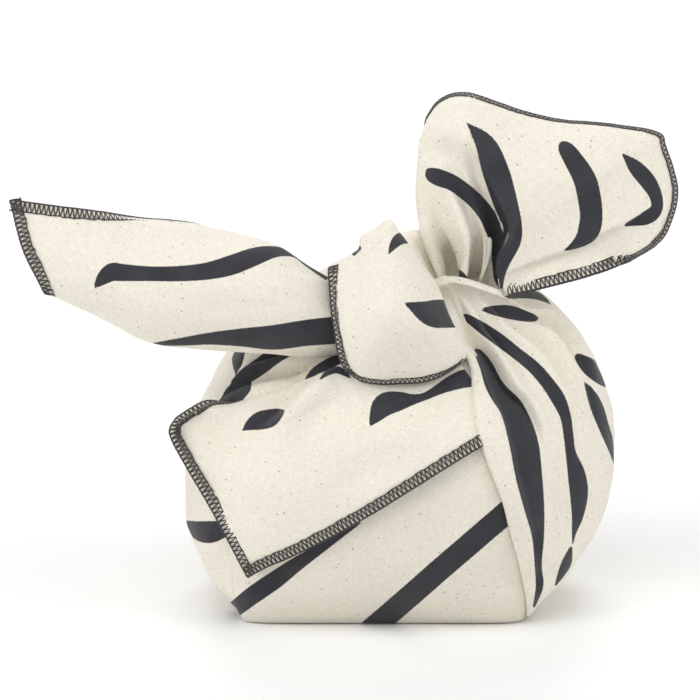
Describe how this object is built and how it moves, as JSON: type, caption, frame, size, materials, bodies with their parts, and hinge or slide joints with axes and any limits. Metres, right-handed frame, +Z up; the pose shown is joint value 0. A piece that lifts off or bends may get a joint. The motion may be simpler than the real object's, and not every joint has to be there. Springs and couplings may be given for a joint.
{
  "type": "furoshiki wrap",
  "caption": "Square cotton cloth wrapped round a bundle and tied in a knot on top, its free ends standing out as folded ears.",
  "frame": {"origin": "centre of the flat base, on the surface that the wrap stands on", "axes": "+X to the right end of the knot as seen from the front, +Y away from the front, +Z up"},
  "size_m": [0.2891, 0.1509, 0.2256],
  "materials": {
    "cotton": "unbleached plain weave, printed on one side"
  },
  "bodies": {
    "root": {"wrap_cloth": "cotton"}
  },
  "joints": []
}
